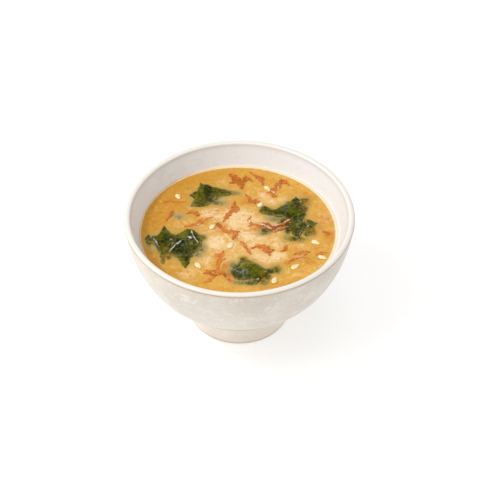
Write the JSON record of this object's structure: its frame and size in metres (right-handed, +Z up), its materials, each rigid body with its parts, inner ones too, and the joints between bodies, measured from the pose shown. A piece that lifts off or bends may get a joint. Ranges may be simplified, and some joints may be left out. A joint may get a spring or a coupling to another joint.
{
  "type": "miso soup in a bowl",
  "caption": "Round pale glazed bowl on a foot ring, filled with cloudy amber soup, with floating dark green seaweed leaves, orange-brown flakes and sesame seeds.",
  "frame": {"origin": "centre of the foot ring's base, on the surface that the bowl stands on", "axes": "+Z up out of the bowl's mouth; +Y away from the viewer of the picture; +X to the viewer's right"},
  "size_m": [0.115, 0.115, 0.0677],
  "materials": {
    "stoneware": "satin glaze",
    "soup": "wet",
    "wakame": "wet"
  },
  "bodies": {
    "root": {"bowl": "stoneware", "soup": "soup", "wakame_back": "wakame", "wakame_right": "wakame", "wakame_right_back": "wakame", "wakame_right_front": "wakame", "wakame_right_small": "wakame", "wakame_left": "wakame", "wakame_left_inner": "wakame", "wakame_front": "wakame", "wakame_front_side": "wakame"}
  },
  "joints": []
}
